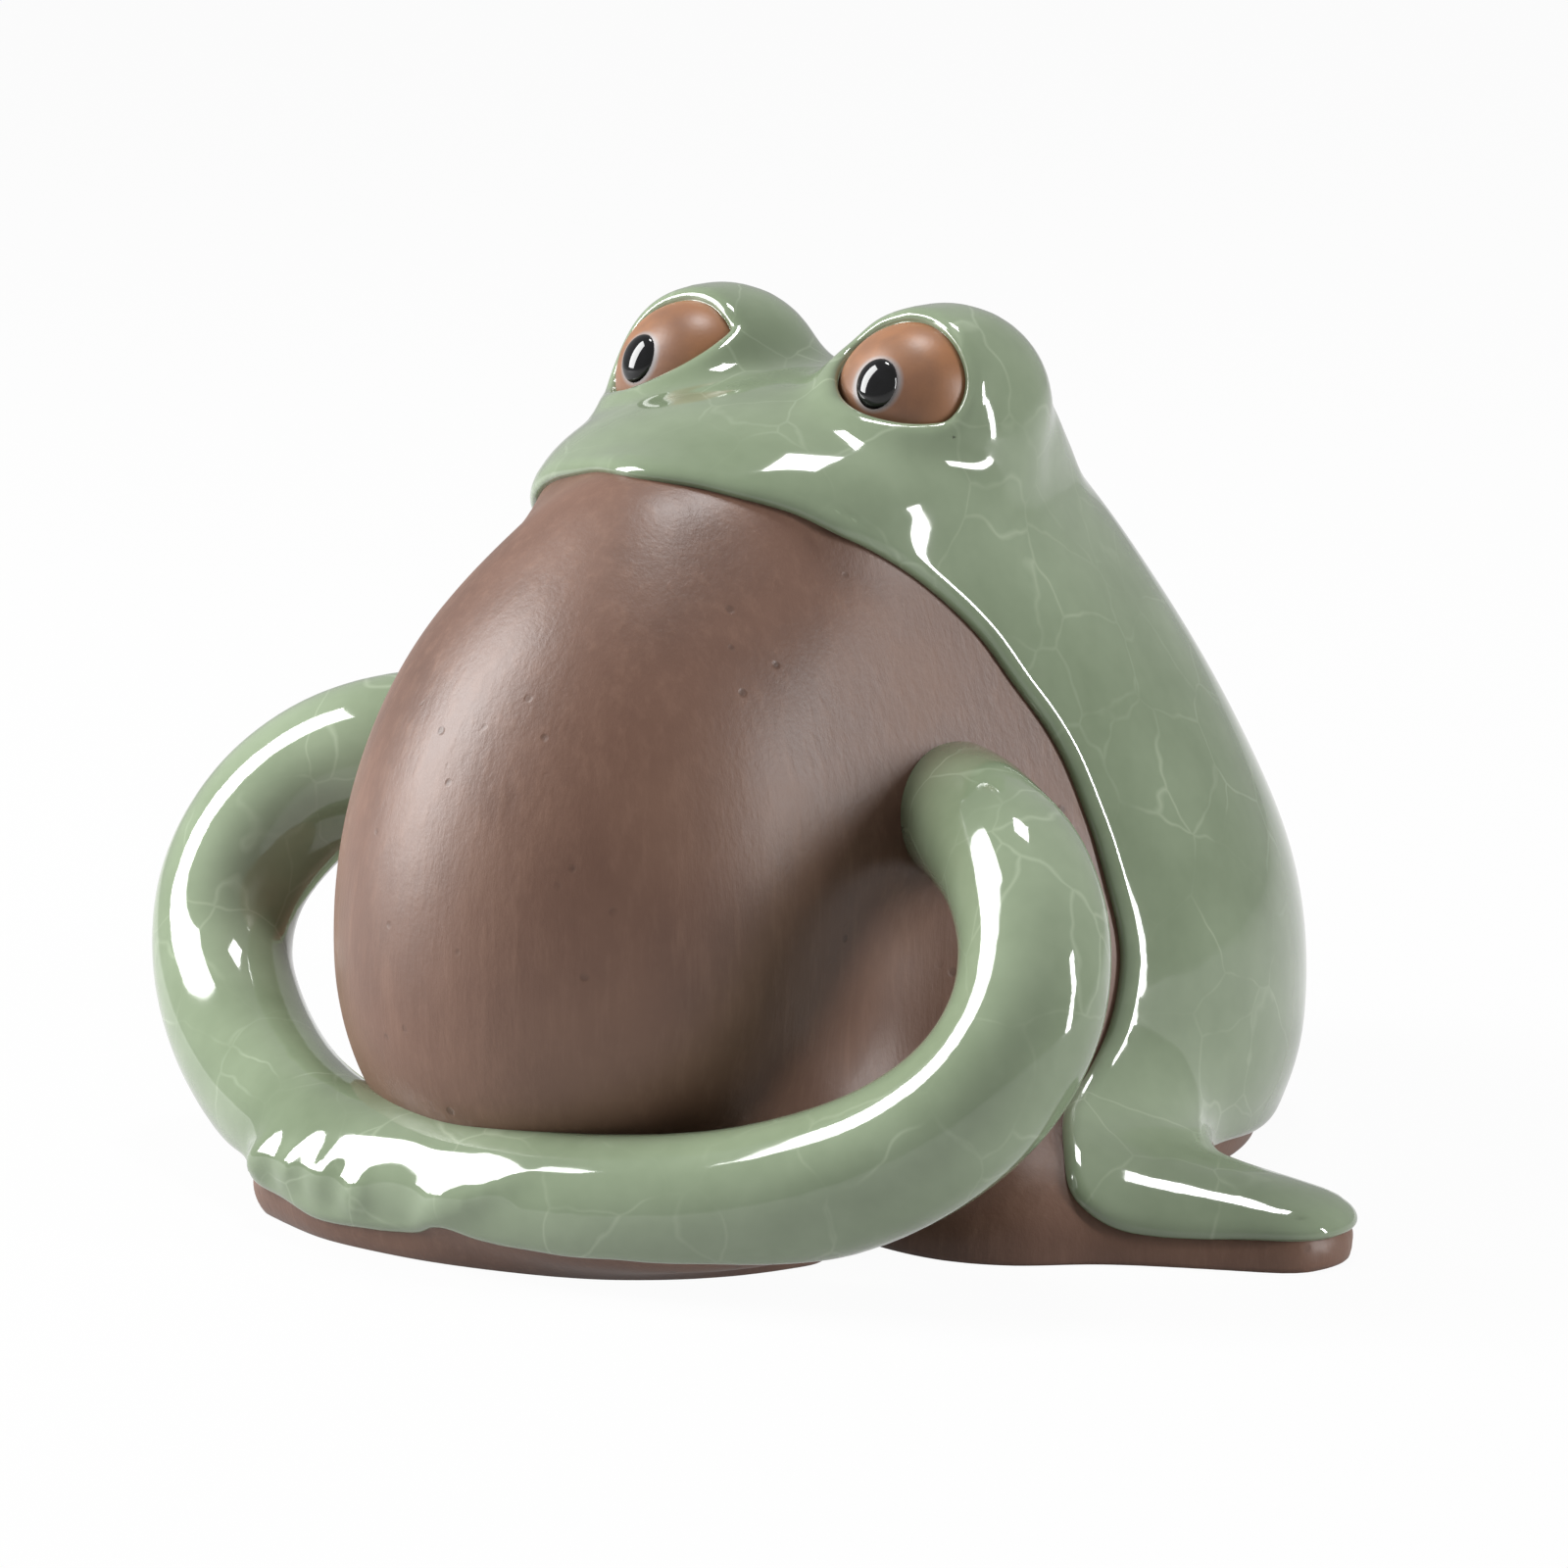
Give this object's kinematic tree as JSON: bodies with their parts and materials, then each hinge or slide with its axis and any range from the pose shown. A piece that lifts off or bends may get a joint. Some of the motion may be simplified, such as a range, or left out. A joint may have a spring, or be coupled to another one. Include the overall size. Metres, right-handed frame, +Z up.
{
  "type": "frog figurine",
  "caption": "Sitting frog ornament in dark stoneware with a round bare belly, arms that loop out and meet in front, and a thick crackle glaze.",
  "frame": {"origin": "on the ground, on the turning axis of the round back", "axes": "+Z up, the frog faces -Y, its left side is +X"},
  "size_m": [0.102, 0.0909, 0.0665],
  "materials": {
    "stoneware": "bare fired clay, wiped smooth, satin-matt",
    "eye_clay": "bare fired clay, smooth",
    "black_glaze": "glossy bead of black glaze",
    "celadon_glaze": "thick glossy glaze with fine crackle"
  },
  "bodies": {
    "root": {"back_shell": "stoneware", "belly_shell": "stoneware", "base_slab": "stoneware", "seam_coil": "stoneware", "left_arm": "stoneware", "left_hand": "stoneware", "left_haunch": "stoneware", "left_foot": "stoneware", "right_arm": "stoneware", "right_hand": "stoneware", "right_haunch": "stoneware", "right_foot": "stoneware", "left_eyeball": "eye_clay", "right_eyeball": "eye_clay", "left_pupil": "black_glaze", "right_pupil": "black_glaze", "back_glaze": "celadon_glaze", "left_arm_glaze": "celadon_glaze", "right_arm_glaze": "celadon_glaze"}
  },
  "joints": []
}
